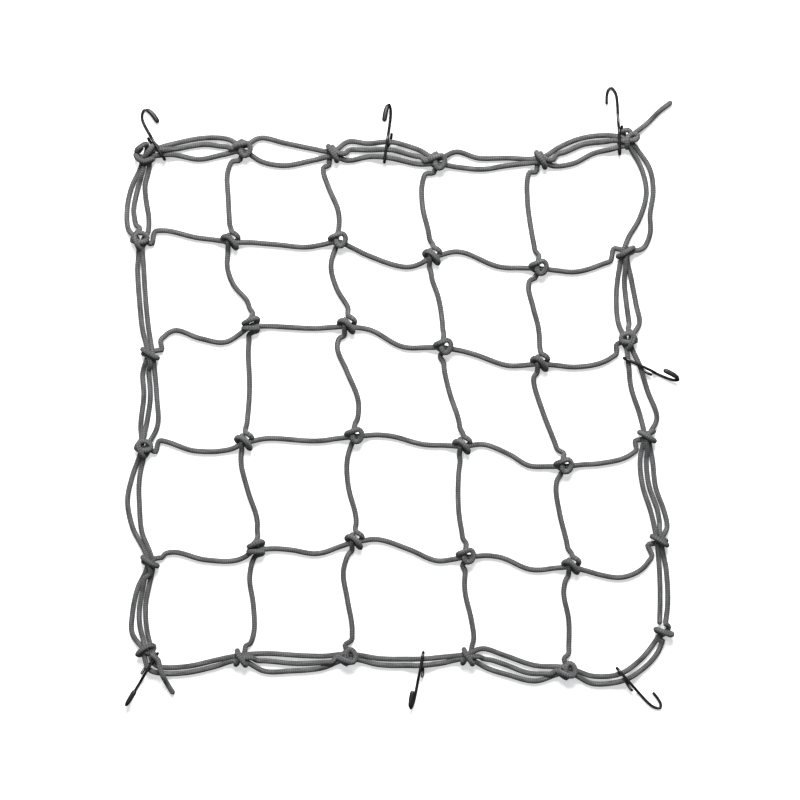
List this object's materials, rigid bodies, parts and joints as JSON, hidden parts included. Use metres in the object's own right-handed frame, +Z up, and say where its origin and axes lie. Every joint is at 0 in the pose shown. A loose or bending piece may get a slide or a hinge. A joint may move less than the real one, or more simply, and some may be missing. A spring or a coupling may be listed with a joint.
{
  "type": "cargo net",
  "caption": "Square cargo net of knotted elastic cord with a doubled border and wire hooks round the edge, laid out flat.",
  "frame": {"origin": "middle of the net's outline, on the surface that it lies on", "axes": "+Z up from the surface, +Y to the side with three hooks, +X to the side with one hook"},
  "size_m": [0.4434, 0.4978, 0.0128],
  "materials": {
    "cord_sheath": "matt black woven sheath over rubber strands",
    "coated_wire": "gloss black plastic coated steel wire"
  },
  "bodies": {
    "root": {"border_top": "cord_sheath", "border_right": "cord_sheath", "border_bottom": "cord_sheath", "border_left": "cord_sheath", "column_1": "cord_sheath", "column_2": "cord_sheath", "column_3": "cord_sheath", "column_4": "cord_sheath", "row_1_span_1": "cord_sheath", "row_1_span_2": "cord_sheath", "row_1_span_3": "cord_sheath", "row_1_span_4": "cord_sheath", "row_1_span_5": "cord_sheath", "row_2_span_1": "cord_sheath", "row_2_span_2": "cord_sheath", "row_2_span_3": "cord_sheath", "row_2_span_4": "cord_sheath", "row_2_span_5": "cord_sheath", "row_3_span_1": "cord_sheath", "row_3_span_2": "cord_sheath", "row_3_span_3": "cord_sheath", "row_3_span_4": "cord_sheath", "row_3_span_5": "cord_sheath", "row_4_span_1": "cord_sheath", "row_4_span_2": "cord_sheath", "row_4_span_3": "cord_sheath", "row_4_span_4": "cord_sheath", "row_4_span_5": "cord_sheath", "run_top_1": "cord_sheath", "run_top_3": "cord_sheath", "run_top_5": "cord_sheath", "run_right_2": "cord_sheath", "run_right_4": "cord_sheath", "run_bottom_2": "cord_sheath", "run_bottom_4": "cord_sheath", "run_left_1": "cord_sheath", "run_left_3": "cord_sheath", "run_left_5": "cord_sheath", "tail_top_right": "cord_sheath", "tail_bottom_left": "cord_sheath", "hook_top_left": "coated_wire", "hook_top_middle": "coated_wire", "hook_top_right": "coated_wire", "hook_right": "coated_wire", "hook_bottom_middle": "coated_wire", "hook_bottom_right": "coated_wire", "hook_bottom_left": "coated_wire"}
  },
  "joints": []
}
